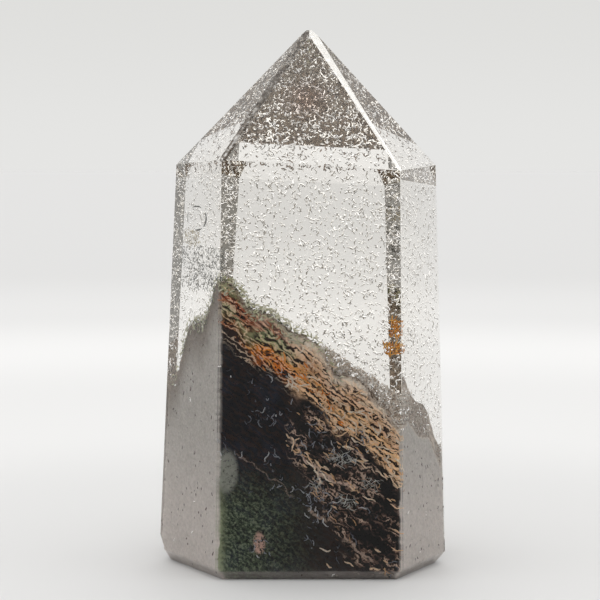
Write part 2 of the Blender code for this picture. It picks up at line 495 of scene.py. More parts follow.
def shader_group(name, inputs, outputs):
    """A shader group with named sockets: (name, kind, value) for an input, (name, kind) for an output."""
    group = bpy.data.node_groups.new(name, "ShaderNodeTree")
    for label, kind, value in inputs:
        socket = group.interface.new_socket(label, in_out="INPUT", socket_type="NodeSocket" + kind)
        socket.default_value = value
    for label, kind in outputs:
        group.interface.new_socket(label, in_out="OUTPUT", socket_type="NodeSocket" + kind)
    return group, node(group, "NodeGroupInput").outputs


def placed_group(tree, group, **values):
    """Puts a node group in a material with values of its own. Returns its outputs."""
    return node(tree, "ShaderNodeGroup", values, node_tree=group).outputs


# Dust: soft dark patches that every mineral of the garden has, at its own size and strength.
DUST_DARK = (0.02, 0.015, 0.01)
dust, given = shader_group(
    "mineral_dust",
    (("Color", "Color", (0.5, 0.5, 0.5, 1.0)), ("Size", "Float", 3.0), ("Amount", "Float", 0.4)),
    (("Color", "Color"),),
)
dust_place = scaled(dust, node(dust, "ShaderNodeTexCoord").outputs["Object"], IN_MM)
dust_noise = noise_of(dust, dust_place, given["Size"])
dust_mask = times(dust, spread(dust, dust_noise, 0.35, 0.65), given["Amount"])
node(dust, "NodeGroupOutput", {"Color": mixed(dust, dust_mask, given["Color"], DUST_DARK)})

ONE_BAND = 0.314  # the scale at which a wave texture has one band to each unit of its place


def grain_of(tree, place, across, distortion, finer):
    """Wavering strands that lie along the layers, from 0 in the gaps to 1 on the ridges."""
    made = node(
        tree, "ShaderNodeTexWave",
        {"Vector": place, "Scale": ONE_BAND / across, "Distortion": distortion, "Detail": 3.0,
         "Detail Scale": finer, "Detail Roughness": 0.6},
        wave_type="BANDS", bands_direction="Z",
    )
    return made.outputs["Fac"]


def patch(tree, axes, centre_x, centre_z, half_wide, half_high):
    """1 inside an oval on the front wall, fading out past its edge. Sizes are in millimetres."""
    over = math_of(tree, "DIVIDE", math_of(tree, "SUBTRACT", axes["X"], centre_x), half_wide)
    up = math_of(tree, "DIVIDE", math_of(tree, "SUBTRACT", axes["Z"], centre_z), half_high)
    far = math_of(tree, "ADD", times(tree, over, over), times(tree, up, up))
    return spread(tree, far, 1.6, 0.5)


def vein(tree, place, start, end, width):
    """1 along a wavering line on the front wall, from start to end as (x, z) in millimetres."""
    (x, z), (to_x, to_z) = start, end
    run = math.hypot(to_x - x, to_z - z)
    along = ((to_x - x) / run, 0.0, (to_z - z) / run)
    across = (-along[2], 0.0, along[0])
    at = vector_of(tree, "SUBTRACT", place, (x, 0.0, z))
    wander = math_of(tree, "MULTIPLY_ADD", noise_of(tree, place, 0.55, 3.0), 3.0, -1.5)
    off = math_of(tree, "ABSOLUTE", math_of(tree, "ADD", vector_of(tree, "DOT_PRODUCT", at, across), wander))
    share = math_of(tree, "DIVIDE", vector_of(tree, "DOT_PRODUCT", at, along), run)
    ends = times(tree, spread(tree, share, -0.05, 0.10), spread(tree, share, 1.05, 0.90))
    return times(tree, spread(tree, off, width, width * 0.3), ends)


# The layers are given by depth below the rim, in millimetres over LAYERS_DEEP.
LAYERS_DEEP = 16.0
LEFT_LAYERS = (
    (0.00, (0.46, 0.46, 0.26)),
    (0.05, (0.30, 0.26, 0.12)),
    (0.09, (0.56, 0.13, 0.05)),
    (0.15, (0.42, 0.15, 0.06)),
    (0.21, (0.33, 0.34, 0.17)),
    (0.31, (0.26, 0.15, 0.05)),
    (0.39, (0.38, 0.12, 0.03)),
    (0.44, (0.020, 0.012, 0.010)),
    (0.48, (0.004, 0.004, 0.008)),
)
MIDDLE_LAYERS = (
    (0.00, (0.52, 0.54, 0.38)),
    (0.05, (0.58, 0.42, 0.32)),
    (0.10, (0.68, 0.36, 0.25)),
    (0.15, (0.36, 0.41, 0.22)),
    (0.25, (0.38, 0.40, 0.19)),
    (0.31, (1.00, 0.36, 0.04)),
    (0.44, (0.80, 0.22, 0.03)),
    (0.53, (0.004, 0.004, 0.008)),
)
RIGHT_LAYERS = (
    (0.00, (0.88, 0.78, 0.66)),
    (0.10, (0.94, 0.68, 0.48)),
    (0.22, (0.78, 0.46, 0.27)),
    (0.34, (1.00, 0.62, 0.29)),
    (0.50, (0.98, 0.62, 0.34)),
    (0.60, (0.24, 0.14, 0.09)),
    (0.72, (0.022, 0.017, 0.016)),
)
LAYER_GAP = (0.022, 0.009, 0.006)
LAYER_RIDGE = (1.0, 0.76, 0.54)
CROWN_SHADES = ((0.30, (0.12, 0.085, 0.065)), (0.46, (0.34, 0.26, 0.20)), (0.60, (0.52, 0.44, 0.36)))
CROWN_CURL = (0.66, 0.61, 0.54)
CROWN_GAP = (0.05, 0.033, 0.025)
DEEP_MOTTLE = (
    (0.24, (0.005, 0.004, 0.004)),
    (0.46, (0.045, 0.026, 0.020)),
    (0.66, (0.16, 0.095, 0.070)),
    (0.90, (0.58, 0.42, 0.32)),
)
DEEP_GREENS = ((0.36, (0.006, 0.009, 0.008)), (0.50, (0.050, 0.072, 0.042)), (0.64, (0.20, 0.24, 0.15)))
EDGE_GREEN = (0.30, 0.34, 0.20)
DEEP_NAVY = (0.008, 0.011, 0.020)
PALE_VEIN = (0.72, 0.53, 0.42)
LENS_GREY = (0.34, 0.35, 0.30)
PINK_SPOT = (0.62, 0.40, 0.32)
FLANK_CLAY = (0.50, 0.465, 0.42)
FLANK_PALE = (0.60, 0.560, 0.52)
FLANK_LOW = (0.72, 0.655, 0.61)
FLANK_TOP = (0.25, 0.20, 0.155)
FLANK_PIT = (0.12, 0.075, 0.06)
SHINE_IN_QUARTZ = 0.1  # nearly none, because quartz bends light almost as much as the minerals in it do
MINERAL_ROUGHNESS = 0.8
# Pale veins on the front wall: start, end and width in millimetres, and strength.
VEINS = (
    ((-10.6, 20.4), (-1.1, 13.6), 0.20, 0.30),
    ((0.9, 11.4), (3.9, 9.3), 0.45, 0.55),
    ((6.6, 6.8), (11.2, 2.8), 0.40, 0.60),
    ((-1.8, 22.3), (3.8, 16.2), 0.38, 0.95),
    ((3.6, 16.4), (8.4, 15.0), 0.38, 0.95),
)
# The grey lens and the pink spot: centre, and half the width and height.
LENS = (-11.9, 17.4, 1.7, 3.2)
PINK = (-6.7, 6.0, 0.9, 1.7)

mineral = bpy.data.materials.new("garden_mineral")
mineral.use_nodes = True
tree = mineral.node_tree
shader = tree.nodes["Principled BSDF"]
coordinates = node(tree, "ShaderNodeTexCoord").outputs
place, normals = coordinates["Object"], coordinates["Normal"]
mm = scaled(tree, place, IN_MM)
axes = parts_of(tree, mm)
streaks = noise_of(tree, bedded(tree, mm, 5.0), 1.1, 5.0, 0.65)
grain = noise_of(tree, mm, 2.4, 5.0, 0.7)
broad = noise_of(tree, bedded(tree, mm, 2.0), 0.45, 3.0)
under = attribute(tree, "under")
depth = math_of(tree, "MULTIPLY_ADD", streaks, 4.0, under)
depth = math_of(tree, "DIVIDE", math_of(tree, "SUBTRACT", depth, 2.0), LAYERS_DEEP)
side = math_of(tree, "MULTIPLY_ADD", grain, 4.0, axes["X"])

# The bright layers, with dark gaps between their strands and a pale ridge along the middle of some.
layers = ramp(tree, depth, LEFT_LAYERS)
layers = mixed(tree, spread(tree, side, -6.5, -4.0), layers, ramp(tree, depth, MIDDLE_LAYERS))
layers = mixed(tree, spread(tree, side, -1.0, 2.5), layers, ramp(tree, depth, RIGHT_LAYERS))
strands = grain_of(tree, bedded(tree, mm, 1.7), 0.95, 11.0, 2.4)
ragged = times(tree, spread(tree, broad, 0.24, 0.46), spread(tree, depth, 0.02, 0.12))
gaps = times(tree, spread(tree, strands, 0.46, 0.24), ragged)
colour = mixed(tree, gaps, layers, LAYER_GAP)
ridges = times(tree, spread(tree, strands, 0.74, 0.96), spread(tree, depth, 0.62, 0.45))
colour = mixed(tree, times(tree, ridges, 0.65), colour, LAYER_RIDGE)

# The dark part below: knotted brown at the right, mossy green at the lower left, and blue-black between.
deep = spread(tree, depth, 0.50, 0.62)
knots = grain_of(tree, bedded(tree, mm, 1.1), 1.15, 13.0, 2.8)
mottled = ramp(tree, times(tree, knots, spread(tree, broad, 0.26, 0.68)), DEEP_MOTTLE)
brown_from = math_of(tree, "MAXIMUM", math_of(tree, "MULTIPLY_ADD", axes["Z"], -0.57, 9.9), -1.5)
past_edge = math_of(tree, "SUBTRACT", math_of(tree, "MULTIPLY_ADD", broad, 6.0, axes["X"]), brown_from)
colour = mixed(tree, times(tree, deep, spread(tree, past_edge, 2.0, 4.5)), colour, mottled)
to_left = times(tree, spread(tree, axes["Z"], 20.0, 9.0), spread(tree, side, 7.0, -9.0))
mossy = math_of(tree, "MULTIPLY_ADD", knots, 0.16, times(tree, grain, 0.84))
greens = mixed(tree, spread(tree, side, -9.6, -11.4), ramp(tree, mossy, DEEP_GREENS), EDGE_GREEN)
colour = mixed(tree, times(tree, to_left, deep), colour, greens)
haze = times(tree, spread(tree, broad, 0.45, 0.70), deep)
haze = times(tree, haze, spread(tree, axes["X"], 2.0, -4.0))
colour = mixed(tree, haze, colour, DEEP_NAVY, "ADD")

# Single marks on the front wall: pale veins along the layers, a grey lens and a pink spot at the lower left.
for begin, end, width, strength in VEINS:
    mark = times(tree, vein(tree, mm, begin, end, width), spread(tree, grain, 0.34, 0.50))
    colour = mixed(tree, times(tree, mark, strength), colour, PALE_VEIN)
lens = times(tree, patch(tree, axes, *LENS), 0.8)
colour = mixed(tree, times(tree, lens, spread(tree, grain, 0.30, 0.48)), colour, LENS_GREY)
pink = times(tree, patch(tree, axes, *PINK), spread(tree, grain, 0.42, 0.52))
colour = mixed(tree, pink, colour, PINK_SPOT)

# The crown, seen through the clear quartz, and the clay-covered flanks with their droplet pits.
crown_colour = ramp(tree, grain, CROWN_SHADES)
for scale, bend, line_colour in ((1.15, 0.8, CROWN_CURL), (1.0, 1.0, CROWN_GAP)):
    lines = thin_lines(tree, noise_of(tree, mm, scale, 2.0, 0.5, bend), 0.035)
    crown_colour = mixed(tree, lines, crown_colour, line_colour)
colour = mixed(tree, attribute(tree, "crown"), colour, crown_colour)
flank_colour = mixed(tree, spread(tree, grain, 0.40, 0.62), FLANK_CLAY, FLANK_PALE)
flank_colour = mixed(tree, spread(tree, axes["Z"], 26.0, 6.0), flank_colour, FLANK_LOW)
stained_top = times(tree, spread(tree, under, 9.0, 0.0), spread(tree, axes["X"], 14.0, -4.0))
flank_colour = mixed(tree, stained_top, flank_colour, FLANK_TOP)
at_back = spread(tree, parts_of(tree, normals)["Y"], 0.3, 0.7)
thin_clay = times(tree, at_back, spread(tree, math_of(tree, "ADD", broad, depth), 1.15, 0.75))
flank_colour = mixed(tree, times(tree, thin_clay, 0.7), flank_colour, colour)
flank_pits = spread(tree, noise_of(tree, mm, 1.3, 2.0, 0.5), 0.30, 0.25)
flank_colour = mixed(tree, flank_pits, flank_colour, FLANK_PIT)
off_crown = math_of(tree, "SUBTRACT", 1.0, attribute(tree, "crown"))
colour = mixed(tree, times(tree, attribute(tree, "flank"), off_crown), colour, flank_colour)
colour = placed_group(tree, dust, Color=colour, Size=2.2, Amount=0.15)["Color"]
tree.links.new(colour, shader.inputs["Base Color"])
shader.inputs["Roughness"].default_value = MINERAL_ROUGHNESS
shader.inputs["Specular IOR Level"].default_value = SHINE_IN_QUARTZ

mound_source = welded_copy("garden_inclusion")
voxels = mound_source.modifiers.new("Even faces", "REMESH")
voxels.mode = "VOXEL"
voxels.voxel_size = MOUND_VOXEL
mound_mesh = run_tree(
    mound_source, relief,
    swell=MOUND_SWELL, pit=PIT_DEPTH, ledge=LEDGE_DEPTH, lowest=MOUND_LOWEST, paint=mineral,
)
mound = set_in_stone("garden_mound", mound_mesh, mineral, "garden_mineral", "garden_inclusion")


# The specks: thousands of tiny worm-like hollows and clay flakes that the growing quartz shut in. They are
# scattered all through the clear part, closest together in the point. Each hollow carries painted light: a
# glowing painted glint and paler colour on top, and painted shade below.
SPECK_LENGTH = 1.20 * MM
SPECK_THICK = 0.11 * MM
SPECK_KINDS = 8
SPECK_SEED = 11
SPECKS_LOW = 8500
SPECKS_HIGH = 3400
KEEP_IN = 0.45 * MM
POINT_STARTS = 64.5 * MM
NO_LIMIT = 1.0
FULL_TURN = (6.283, 6.283, 6.283)
TUBE_ENDS = 0.25  # the least share of its thickness that a tube keeps towards its ends
TUBE_UNEVEN = (0.7, 1.2)
TUBE_LENGTHS = (0.5, 1.3)
ALMOST_UP = Vector((0.0, 0.2, 1.0))


def add_tube(shape, middles, thick, sides, draws):
    """Adds a closed tube through the middles to the shape, uneven in thickness and tapering at both ends."""
    last = len(middles) - 1
    loops = []
    for index, middle in enumerate(middles):
        taper = max(TUBE_ENDS, math.sin(math.pi * index / last)) ** 0.5
        reach = thick * taper * draws.uniform(*TUBE_UNEVEN)
        ahead = middles[min(index + 1, last)] - middles[max(index - 1, 0)]
        across = ahead.cross(ALMOST_UP).normalized()
        upward = across.cross(ahead).normalized()
        loop = []
        for step in range(sides):
            turn = 2.0 * math.pi * step / sides
            rim = across * math.cos(turn) + upward * math.sin(turn)
            loop.append(shape.verts.new(middle + rim * reach))
        loops.append(loop)
    for first, second in zip(loops, loops[1:]):
        for step in range(sides):
            after = (step + 1) % sides
            shape.faces.new((first[step], first[after], second[after], second[step]))
    for loop in (loops[0], loops[-1]):
        shape.faces.new(loop)


def smooth_mesh(name, shape):
    """The shape as a smooth mesh, with its faces pointing out."""
    bmesh.ops.recalc_face_normals(shape, faces=shape.faces)
    mesh = bpy.data.meshes.new(name)
    shape.to_mesh(mesh)
    shape.free()
    mesh.shade_smooth()
    return mesh


def worm(name, length, thick, bends, rings, sides, draws):
    """A short tube that wanders, centred on the origin and running along X."""
    along = length / (rings - 1)
    heading = Vector((1.0, 0.0, 0.0))
    middles = [Vector((0.0, 0.0, 0.0))]
    for _ in range(rings - 1):
        heading.rotate(Euler([draws.uniform(-bends, bends) for _ in range(3)]))
        middles.append(middles[-1] + heading * along)
    centre = sum(middles, Vector()) / rings
    shape = bmesh.new()
    add_tube(shape, [middle - centre for middle in middles], thick, sides, draws)
    return smooth_mesh(name, shape)


def kinds_of_worm(name, draws, count, length, thick, bends, rings, sides):
    """A collection of a few worms, for a scatter to choose from. It isn't linked to the scene."""
    kinds = bpy.data.collections.new(name)
    for index in range(count):
        own_length = length * draws.uniform(*TUBE_LENGTHS)
        mesh = worm(f"{name}_{index}", own_length, thick, bends, rings, sides, draws)
        kinds.objects.link(bpy.data.objects.new(mesh.name, mesh))
    return kinds


def worms_on(tree, points, given, aim=None):
    """A worm of a random kind and size on each point, with its own number, the attribute shade."""
    worms = node(
        tree, "GeometryNodeCollectionInfo",
        {"Collection": given["kinds"], "Separate Children": True, "Reset Children": True},
    ).outputs[0]
    size = node(
        tree, "FunctionNodeRandomValue", {2: given["smallest"], 3: given["largest"], "Seed": given["seed"]},
        data_type="FLOAT",
    ).outputs[1]
    most = given["turn"]
    least = scaled(tree, most, -1.0)
    turn = node(
        tree, "FunctionNodeRandomValue", {0: least, 1: most, "Seed": given["seed"]}, data_type="FLOAT_VECTOR"
    ).outputs[0]
    turn = node(tree, "FunctionNodeEulerToRotation", {0: turn}).outputs[0]
    if aim:
        aimed = node(tree, "FunctionNodeAlignRotationToVector", {"Vector": aim}, axis="X").outputs[0]
        turned = node(tree, "FunctionNodeRotateRotation", {0: aimed, 1: turn}, rotation_space="LOCAL")
        turn = turned.outputs[0]
    copies = node(
        tree, "GeometryNodeInstanceOnPoints",
        {"Points": points, "Instance": worms, "Pick Instance": True, "Rotation": turn, "Scale": size},
    ).outputs[0]
    draw = node(tree, "FunctionNodeRandomValue", {"Seed": given["seed"]}, data_type="FLOAT").outputs[1]
    return stored(tree, copies, "shade", draw, "INSTANCE")


def whether(tree, operation, a, b=False):
    return node(tree, "FunctionNodeBooleanMath", {0: a, 1: b}, operation=operation).outputs[0]


def compared(tree, operation, a, b):
    return node(tree, "FunctionNodeCompare", {0: a, 1: b}, operation=operation).outputs[0]


def shape_of(tree, piece):
    made = node(tree, "GeometryNodeObjectInfo", {"Object": piece}, transform_space="ORIGINAL")
    return made.outputs["Geometry"]


def covered_by(tree, target):
    """Whether the target is straight above each point. For a point inside a closed shape it always is."""
    ray = {"Target Geometry": target, "Ray Direction": UP, "Ray Length": LONG_RAY}
    return node(tree, "GeometryNodeRaycast", ray).outputs["Is Hit"]


afloat, given = geometry_tree(
    "worms_afloat", tower="Object", mound="Object", kinds="Collection", count="Int", seed="Int",
    lowest="Vector", highest="Vector", slant="Vector", limit="Float", turn="Vector", smallest="Float",
    largest="Float", paint="Material",
)
cloud = node(afloat, "GeometryNodePoints", {"Count": given["count"]}).outputs[0]
anywhere = node(
    afloat, "FunctionNodeRandomValue", {0: given["lowest"], 1: given["highest"], "Seed": given["seed"]},
    data_type="FLOAT_VECTOR",
).outputs[0]
cloud = node(afloat, "GeometryNodeSetPosition", {"Geometry": cloud, "Position": anywhere}).outputs[0]
tower_shape = shape_of(afloat, given["tower"])
in_mound = covered_by(afloat, shape_of(afloat, given["mound"]))
clear = whether(afloat, "NIMPLY", covered_by(afloat, tower_shape), in_mound)
to_face = node(afloat, "GeometryNodeProximity", {0: tower_shape}, target_element="FACES").outputs["Distance"]
off_face = compared(afloat, "GREATER_THAN", to_face, KEEP_IN)
here = node(afloat, "GeometryNodeInputPosition").outputs[0]
below = compared(afloat, "LESS_THAN", vector_of(afloat, "DOT_PRODUCT", here, given["slant"]), given["limit"])
keep = whether(afloat, "AND", whether(afloat, "AND", clear, off_face), below)
cloud = node(
    afloat, "GeometryNodeDeleteGeometry", {"Geometry": cloud, "Selection": whether(afloat, "NOT", keep)},
    domain="POINT",
).outputs[0]
finish_tree(afloat, worms_on(afloat, cloud, given), given["paint"])


def kept_inside(mesh):
    """Moves the points of a mesh that would stick out of the crystal to just under its faces."""
    for vert in mesh.vertices:
        for facing, reach in skin_planes:
            past = vert.co.dot(facing) - reach
            if past > 0.0:
                vert.co -= facing * past
    return mesh


def float_worms(name, kinds, paint, slot, box, count, seed, sizes=(0.5, 1.3), slant=UP, limit=NO_LIMIT):
    """A piece of worms that float in the clear quartz, within the box and below the slanting limit."""
    source = shown(name + "_source", bpy.data.meshes.new(name + "_source"))
    mesh = run_tree(
        source, afloat, tower=tower, mound=mound, kinds=kinds, count=count, seed=seed, lowest=tuple(box[0]),
        highest=tuple(box[1]), slant=slant, limit=limit, turn=FULL_TURN, smallest=sizes[0], largest=sizes[1],
        paint=paint,
    )
    return set_in_stone(name, kept_inside(mesh), paint, slot)


# Painted light of the hollows: the body is paler on top and painted shade below, and the glint glows on top.
HOLLOW_SHADED_BODY = ((0.0, (0.54, 0.52, 0.48)), (0.45, (0.74, 0.72, 0.68)), (0.75, (0.92, 0.90, 0.87)))
HOLLOW_PAINTED_GLINT = ((0.48, 0.0), (0.75, 0.70), (0.92, 1.0))
SOILED = (0.07, 0.05, 0.04)

# How a hollow looks: painted light, with a glowing painted glint and paler colour on top and painted shade
# below, or filled with clay where its shade is under the soiled share.
hollow_look, given = shader_group(
    "hollow_look",
    (("Soiled", "Float", 0.3), ("Clay", "Color", (0.2, 0.15, 0.12, 1.0)), ("Brightest", "Float", 1.0)),
    (("Body", "Color"), ("Shine", "Color")),
)
hollow_normal = node(hollow_look, "ShaderNodeTexCoord").outputs["Normal"]
faces_up = math_of(hollow_look, "MULTIPLY_ADD", parts_of(hollow_look, hollow_normal)["Z"], 0.5, 0.5)
shade = attribute(hollow_look, "shade")
soiled = math_of(hollow_look, "LESS_THAN", shade, given["Soiled"])
clay = mixed(hollow_look, math_of(hollow_look, "DIVIDE", shade, given["Soiled"]), SOILED, given["Clay"])
# The glint glows by emission where a hollow faces up: a painted highlight.
painted_glint = scaled(hollow_look, ramp(hollow_look, faces_up, HOLLOW_PAINTED_GLINT), given["Brightest"])
node(hollow_look, "NodeGroupOutput", {
    "Body": mixed(hollow_look, soiled, ramp(hollow_look, faces_up, HOLLOW_SHADED_BODY), clay),
    "Shine": mixed(hollow_look, soiled, painted_glint, BLACK),
})


def speck_finish(name, soiled_share, clay, brightest):
    """The finish of the hollows in one part of the stone, with their painted glint and painted shade."""
    finish = bpy.data.materials.new(name)
    finish.use_nodes = True
    tree = finish.node_tree
    shader = tree.nodes["Principled BSDF"]
    look = placed_group(tree, hollow_look, Soiled=soiled_share, Clay=(*clay, 1.0), Brightest=brightest)
    tree.links.new(look["Body"], shader.inputs["Base Color"])
    # Painted light: the glint glows by emission, and the body is shaded darker underneath.
    tree.links.new(look["Shine"], shader.inputs["Emission Color"])
    shader.inputs["Emission Strength"].default_value = 1.0
    shader.inputs["Metallic"].default_value = 0.5
    shader.inputs["Roughness"].default_value = 0.3
    return finish


hollow = speck_finish("speck_hollow", 0.12, (0.36, 0.31, 0.26), 1.0)
clouded = speck_finish("speck_clouded", 0.66, (0.38, 0.29, 0.23), 0.42)

draws = random.Random(SPECK_SEED)
speck_kinds = kinds_of_worm(
    "speck_kind", draws, SPECK_KINDS, SPECK_LENGTH, SPECK_THICK, bends=0.95, rings=7, sides=4
)
low, high = (Vector(corner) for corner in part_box("quartz_point"))
below_point = (low, Vector((high.x, high.y, POINT_STARTS)))
in_point = (Vector((low.x, low.y, POINT_STARTS)), high)
float_worms(
    "floating_specks", speck_kinds, hollow, "clear_quartz", below_point, count=SPECKS_LOW, seed=SPECK_SEED
)
float_worms(
    "point_specks", speck_kinds, clouded, "clear_quartz", in_point,
    count=SPECKS_HIGH, seed=SPECK_SEED + 1, sizes=(0.6, 1.6),
)


# What grows on the garden: moss-like chlorite along the rim, rusty iron strands drawn out down the slope,
# worms of clay and tufts of grey fibre on the black part, and droplet pits on the flanks. All are short
# filaments, half sunk in the mound.
grown, given = geometry_tree(
    "worms_grown_on", where="String", density="Float", kinds="Collection", seed="Int", aim="Vector",
    turn="Vector", lift="Float", smallest="Float", largest="Float", paint="Material",
)
ground = given["Geometry"]
mask = node(grown, "GeometryNodeInputNamedAttribute", {"Name": given["where"]}, data_type="FLOAT").outputs[0]
seeds = node(
    grown, "GeometryNodeDistributePointsOnFaces",
    {"Mesh": ground, "Density": times(grown, mask, given["density"]), "Seed": given["seed"]},
    distribute_method="RANDOM",
).outputs
lift = node(
    grown, "FunctionNodeRandomValue", {2: 0.0, 3: given["lift"], "Seed": given["seed"]}, data_type="FLOAT"
).outputs[1]
offset = scaled(grown, seeds["Normal"], lift)
points = node(grown, "GeometryNodeSetPosition", {"Geometry": seeds["Points"], "Offset": offset}).outputs[0]
finish_tree(grown, worms_on(grown, points, given, given["aim"]), given["paint"])


def mark_mound(name, rule):
    """Stores rule(under, flank, crown, place in mm) on the mound, from 0 to 1, as where something grows."""
    mesh = mound.data
    read = {}
    for key in ("under", "flank", "crown"):
        read[key] = [0.0] * len(mesh.vertices)
        mesh.attributes[key].data.foreach_get("value", read[key])
    marks = [
        rule(under, flank, crown, vert.co / MM)
        for under, flank, crown, vert in zip(read["under"], read["flank"], read["crown"], mesh.vertices)
    ]
    mesh.attributes.new(name, "FLOAT", "POINT").data.foreach_set("value", marks)


def grow_worms(name, where, kinds, paint, sizes, **how):
    """A piece of worms that grow on the mound, as thickly as its mark of that name says."""
    source = shown(name + "_source", mound.data.copy())
    mesh = run_tree(
        source, grown, where=where, kinds=kinds, smallest=sizes[0], largest=sizes[1], paint=paint, **how
    )
    return set_in_stone(name, kept_inside(mesh), paint, "garden_mineral")


def filament_finish(name, stops, roughness):
    """A dull mineral whose colour differs from filament to filament."""
    finish = bpy.data.materials.new(name)
    finish.use_nodes = True
    tree = finish.node_tree
    shader = tree.nodes["Principled BSDF"]
    colour = ramp(tree, attribute(tree, "shade"), stops, "LINEAR")
    colour = placed_group(tree, dust, Color=colour, Size=3.0, Amount=0.3)["Color"]
    tree.links.new(colour, shader.inputs["Base Color"])
    shader.inputs["Roughness"].default_value = roughness
    shader.inputs["Specular IOR Level"].default_value = SHINE_IN_QUARTZ
    return finish


MOSS_GREENS = (
    (0.0, (0.03, 0.04, 0.015)), (0.33, (0.20, 0.22, 0.10)),
    (0.50, (0.72, 0.72, 0.46)), (1.0, (1.00, 0.97, 0.80)),
)
RUSTS = (
    (0.0, (0.05, 0.02, 0.01)), (0.20, (0.48, 0.13, 0.02)),
    (0.55, (1.00, 0.32, 0.03)), (1.0, (1.00, 0.56, 0.20)),
)
REDS = (
    (0.0, (0.04, 0.015, 0.01)), (0.4, (0.38, 0.10, 0.04)),
    (0.75, (0.62, 0.25, 0.12)), (1.0, (0.80, 0.50, 0.32)),
)
TANS = (
    (0.0, (0.03, 0.018, 0.01)), (0.14, (0.12, 0.06, 0.03)), (0.26, (0.76, 0.44, 0.20)),
    (0.7, (1.00, 0.74, 0.50)), (1.0, (1.00, 0.88, 0.74)),
)
CLAYS = (
    (0.0, (0.02, 0.02, 0.03)), (0.6, (0.11, 0.12, 0.15)),
    (0.85, (0.34, 0.36, 0.41)), (1.0, (0.72, 0.72, 0.72)),
)
FIBRES = ((0.0, (0.16, 0.15, 0.13)), (0.5, (0.45, 0.45, 0.41)), (1.0, (0.82, 0.82, 0.77)))
PITS = ((0.0, (0.03, 0.015, 0.012)), (0.8, (0.12, 0.06, 0.05)), (1.0, (0.75, 0.68, 0.62)))

moss_paint = filament_finish("moss_green", MOSS_GREENS, 0.7)
rust_paint = filament_finish("rust_orange", RUSTS, 0.6)
red_paint = filament_finish("rust_red", REDS, 0.6)
pit_paint = filament_finish("flank_pit", PITS, 0.4)
tan_paint = filament_finish("tan_gold", TANS, 0.6)
clay_paint = filament_finish("pale_clay", CLAYS, 0.6)
fibre_paint = filament_finish("grey_fibre", FIBRES, 0.6)


def between(value, low, full, still, high):
    """0 outside low to high, 1 from full to still, and straight slopes between."""
    if value <= low or value >= high:
        return 0.0
    if value < full:
        return (value - low) / (full - low)
    if value > still:
        return (high - value) / (high - still)
    return 1.0


def on_front(flank, crown):
    return (1.0 - flank) * (1.0 - crown)


def near_line(at, start, end, reach):
    """1 on the front wall's line from start to end, as (x, z) in millimetres, and 0 from reach off it."""
    here = Vector((at.x, at.z))
    start, end = Vector(start), Vector(end)
    run = end - start
    share = max(0.0, min(1.0, (here - start).dot(run) / run.length_squared))
    return max(0.0, 1.0 - (here - start - run * share).length / reach)


# Strand lines and tufts of fibres on the front wall, from the photo: start, end and reach.
TAN_LINES = (
    ((-2.0, 22.1), (3.7, 16.6), 1.0),
    ((3.7, 16.6), (8.4, 15.0), 1.0),
    ((-1.5, 28.0), (3.0, 24.6), 0.9),
    ((3.0, 24.6), (15.8, 14.7), 0.9),
)
TUFTS = (
    ((5.2, 19.8), (7.2, 19.0), 1.2),
    ((10.2, 15.4), (11.6, 15.0), 1.3),
    ((6.6, 12.9), (8.0, 12.4), 1.2),
    ((1.5, 15.4), (2.4, 14.6), 0.7),
)


def moss_rule(under, flank, crown, at):
    near_front = between(at.y, -20.0, -17.0, -13.0, -10.5)
    along_rim = between(at.x, -22.0, -14.0, -6.0, 7.0)
    left_rim = 0.8 * between(at.x, -25.0, -23.0, -14.5, -13.0) * between(at.y, -20.0, -17.0, -3.0, 1.0)
    return max(near_front * along_rim, left_rim) * max(crown, between(under, -1.0, 0.0, 0.5, 1.3))


def rust_rule(under, flank, crown, at):
    middle = 5.6 - 0.20 * (at.x + 2.4) + 0.35 * max(0.0, at.x)
    here = between(under, middle - 1.8, middle - 0.7, middle + 1.2, middle + 2.2)
    return here * on_front(flank, crown) * between(at.x, -9.5, -6.5, 2.5, 7.0)


def tan_rule(under, flank, crown, at):
    here = between(under, 0.6, 1.5, 6.5 + 0.20 * at.x, 9.0 + 0.20 * at.x)
    band = here * between(at.x, -3.0, 3.0, 20.0, 22.0)
    veins = 0.10 * between(under, 6.0, 9.0, 30.0, 40.0) * between(at.x, -4.0, 4.0, 20.0, 22.0)
    drawn = max(near_line(at, start, end, reach) for start, end, reach in TAN_LINES)
    return max(band, veins, min(1.0, 2.0 * drawn)) * on_front(flank, crown)


def tuft_rule(under, flank, crown, at):
    return max(near_line(at, place, end, reach) for place, end, reach in TUFTS) * on_front(flank, crown)


def red_rule(under, flank, crown, at):
    band = between(under, 0.5, 1.0, 2.4, 3.2) * between(at.x, -20.0, -13.0, -6.0, -3.0)
    faint = 0.3 * between(under, 2.4, 3.2, 6.0, 7.0) * between(at.x, -20.0, -13.0, -10.0, -8.0)
    return max(band, faint) * on_front(flank, crown)


def clay_rule(under, flank, crown, at):
    cluster = max(0.0, noise.noise(at / 4.0 + Vector((3.0, 0.0, 1.0)))) ** 1.5
    return between(under, 6.0, 8.0, 60.0, 70.0) * on_front(flank, crown) * min(1.0, 3.0 * cluster)


def pit_rule(under, flank, crown, at):
    return between(under, 1.5, 4.0, 70.0, 80.0) * flank * (1.0 - crown)


for label, rule in (
    ("moss_line", moss_rule), ("rust_band", rust_rule), ("tan_band", tan_rule), ("red_band", red_rule),
    ("clay_area", clay_rule), ("tuft_area", tuft_rule), ("pit_area", pit_rule),
):
    mark_mound(label, rule)

